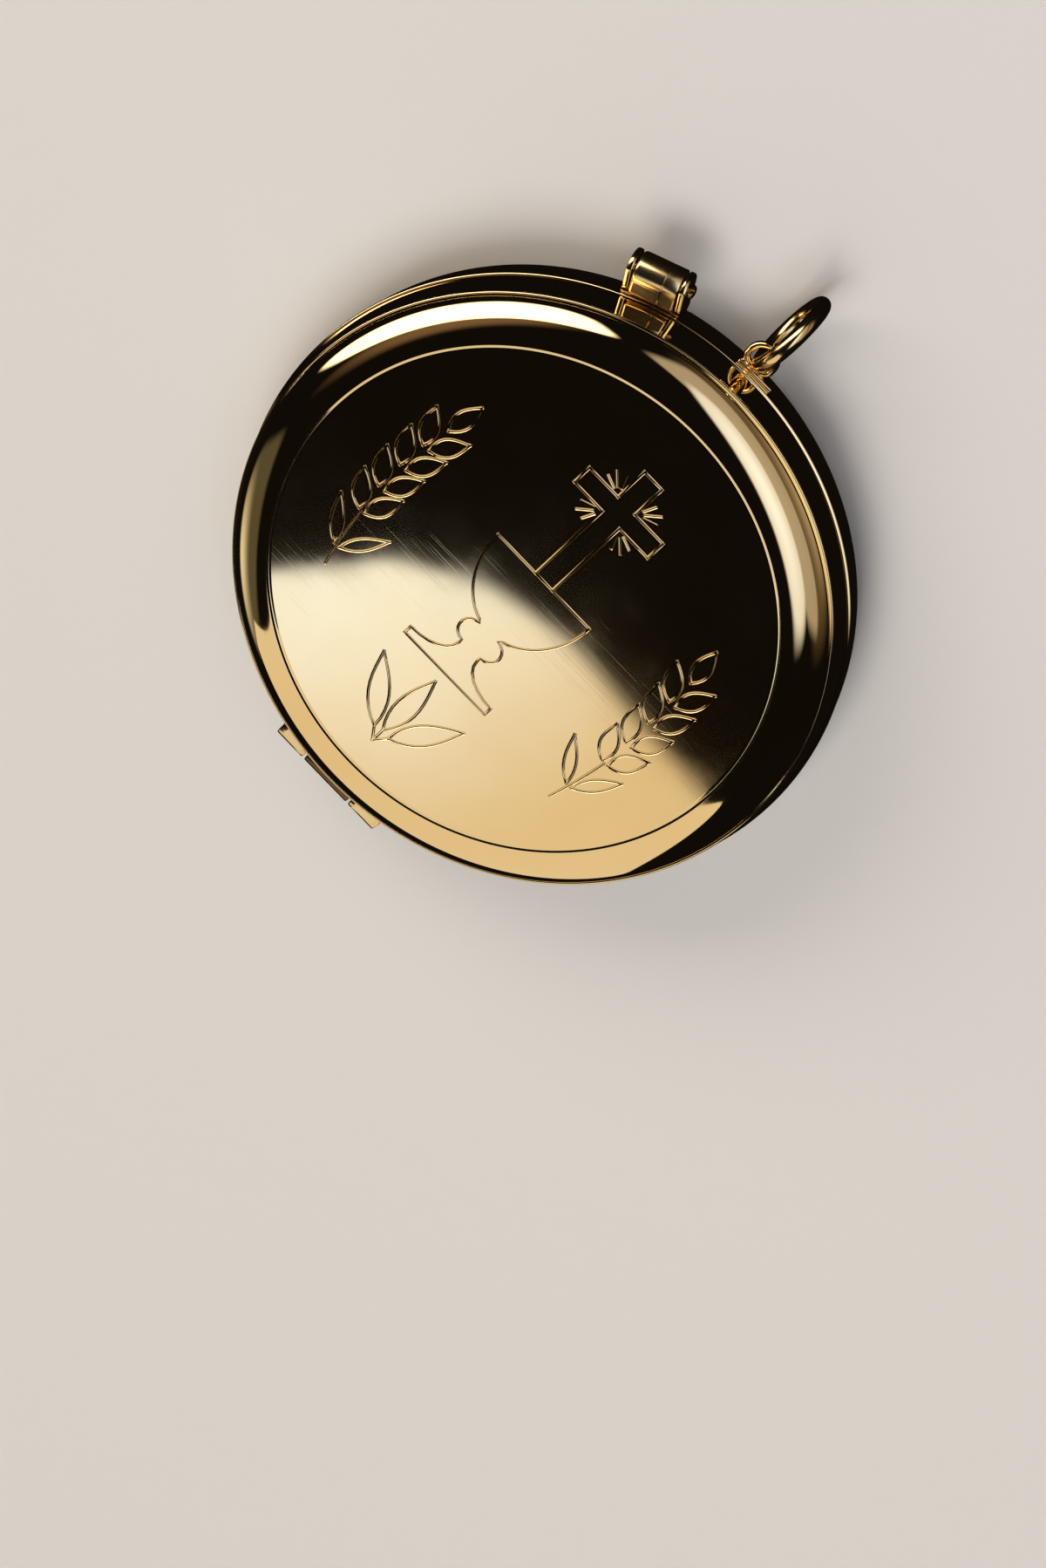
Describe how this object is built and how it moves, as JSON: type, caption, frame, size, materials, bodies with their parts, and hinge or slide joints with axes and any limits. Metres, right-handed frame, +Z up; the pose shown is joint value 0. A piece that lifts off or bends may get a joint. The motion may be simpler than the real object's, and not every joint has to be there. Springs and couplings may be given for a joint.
{
  "type": "pocket ciborium",
  "caption": "Small round hinged case of gold plated brass for altar breads, with a domed lid, a pivoting latch and a carrying ring in an eye.",
  "frame": {"origin": "centre of the case's flat underside, on the axis of the round case", "axes": "+Z up through the lid, +Y towards the carrying ring, so the hinge is on the -Y side and the latch is 23 degrees from the ring towards -X"},
  "size_m": [0.054, 0.0644, 0.0116],
  "materials": {
    "lid_gold": "gold plated, mirror polished, with fine polishing scratches",
    "case_gold": "gold plated, mirror polished",
    "inner_gold": "gold plated, satin",
    "fitting_gold": "gold plated, polished, slightly darker in the solder corners",
    "wire_gold": "gold plated drawn wire, polished",
    "latch_gold": "gold plated, turned and polished",
    "pin_gold": "gold plated, cut ends slightly rougher"
  },
  "bodies": {
    "case": {"base_shell": "case_gold", "inner_collar": "inner_gold", "hinge_bearer_base": "fitting_gold", "hinge_knuckle_left": "fitting_gold", "hinge_knuckle_right": "fitting_gold", "hinge_pin": "pin_gold", "bail_plate": "fitting_gold", "bail_eye": "wire_gold", "latch_bracket": "fitting_gold", "latch_pin": "pin_gold"},
    "lid": {"lid_shell": "lid_gold", "hinge_bearer_lid": "fitting_gold", "hinge_knuckle_middle": "fitting_gold"},
    "ring": {"bail_ring": "wire_gold"},
    "latch": {"latch_lever": "latch_gold"}
  },
  "joints": [
    {"name": "lid_hinge", "type": "hinge", "parent": "case", "child": "lid", "pos_m": [0, -0.02775, 0.0061], "axis": [1, 0, 0], "range_deg": [0, 175]},
    {"name": "latch_pivot", "type": "hinge", "parent": "case", "child": "latch", "pos_m": [-0.01143, 0.02692, 0.0056], "axis": [-0.9205, -0.3907, 0], "range_deg": [0, 90]},
    {"name": "ring_swing", "type": "hinge", "parent": "case", "child": "ring", "pos_m": [-0.00099, 0.02821, 0.00525], "axis": [0, 0, 1], "range_deg": [-60, 60]}
  ]
}
